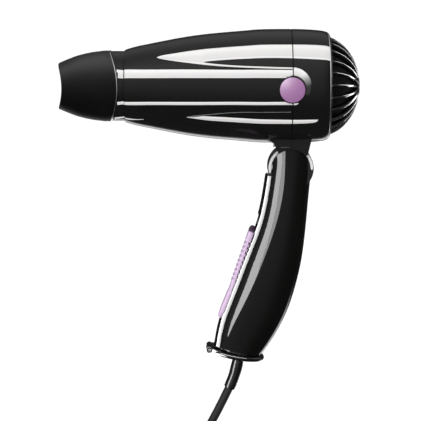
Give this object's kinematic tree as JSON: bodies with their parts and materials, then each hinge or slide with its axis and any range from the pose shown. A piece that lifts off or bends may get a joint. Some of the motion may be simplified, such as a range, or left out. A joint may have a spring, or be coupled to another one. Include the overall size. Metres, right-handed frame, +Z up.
{
  "type": "hair dryer",
  "caption": "Folding travel hair dryer with a tapered barrel, pull-off oval nozzle, ribbed domed intake, lilac slide switch and hanging ring.",
  "frame": {"origin": "middle of the hand grip, on the handle's centre line", "axes": "+X from the nozzle towards the intake, parallel to the barrel's axis; +Y towards the far side; +Z up"},
  "size_m": [0.1864, 0.0728, 0.3791],
  "materials": {
    "barrel_black": "satin gloss",
    "nozzle_black": "fine satin",
    "handle_black": "gloss",
    "grille_black": "gloss",
    "filter_mesh": "woven",
    "lilac": "pearl gloss",
    "screw_steel": "zinc plated",
    "duct_plastic": "matt",
    "motor_steel": "drawn can",
    "fan_plastic": "matt",
    "board_green": "solder mask",
    "mica": "mica sheet",
    "heater_wire": "resistance wire",
    "fuse_metal": "plain",
    "contact_brass": "plain",
    "wire_insulation": "matt",
    "ring_black": "gloss",
    "cord_rubber": "satin",
    "tie_black": "matt",
    "plug_black": "satin",
    "pin_nickel": "nickel plated"
  },
  "bodies": {
    "handle": {"handle_front_shell": "handle_black", "handle_rear_shell": "handle_black", "hinge_pin": "screw_steel", "handle_screws": "screw_steel", "switch_body": "duct_plastic", "switch_contacts": "contact_brass", "handle_wiring": "wire_insulation", "end_cap": "handle_black", "cord_clamp": "duct_plastic", "strain_relief": "cord_rubber", "ring_pin": "screw_steel", "mains_cord": "cord_rubber", "cord_hank": "cord_rubber", "hank_tie": "tie_black", "cord_tail": "cord_rubber", "plug_body": "plug_black", "plug_pins": "pin_nickel"},
    "barrel": {"front_housing": "barrel_black", "rear_housing": "barrel_black", "rear_grille": "grille_black", "intake_filter": "filter_mesh", "side_cap_near": "lilac", "side_cap_far": "lilac", "housing_screws": "screw_steel", "hinge_drum": "barrel_black", "stator_duct": "duct_plastic", "motor": "motor_steel", "rectifier_board": "board_green", "heater_boards": "mica", "heater_coil": "heater_wire", "mica_sleeve": "mica", "thermostat": "fuse_metal", "thermal_fuse": "fuse_metal", "outlet_guard": "duct_plastic", "barrel_wiring": "wire_insulation"},
    "fan_rotor": {"fan_impeller": "fan_plastic", "motor_shaft": "screw_steel"},
    "nozzle": {"nozzle": "nozzle_black"},
    "slider": {"switch_slider": "lilac", "switch_carriage": "duct_plastic"},
    "ring": {"hang_ring": "ring_black"}
  },
  "joints": [
    {"name": "barrel_fold", "type": "hinge", "parent": "handle", "child": "barrel", "pos_m": [0.0082, 0, 0.0455], "axis": [0, -1, 0], "range_deg": [0, 68]},
    {"name": "nozzle_pull", "type": "slide", "parent": "barrel", "child": "nozzle", "axis": [-1, 0, 0], "range_m": [0, 0.022]},
    {"name": "fan_spin", "type": "hinge", "parent": "barrel", "child": "fan_rotor", "pos_m": [0.0253, 0, 0.096], "axis": [1, 0, 0], "continuous": true},
    {"name": "switch_slide", "type": "slide", "parent": "handle", "child": "slider", "axis": [0.3255, 0, 0.9455], "range_m": [0, 0.008]},
    {"name": "ring_swing", "type": "hinge", "parent": "handle", "child": "ring", "pos_m": [-0.04224, 0, -0.06924], "axis": [0, 1, 0], "range_deg": [0, 40]}
  ]
}
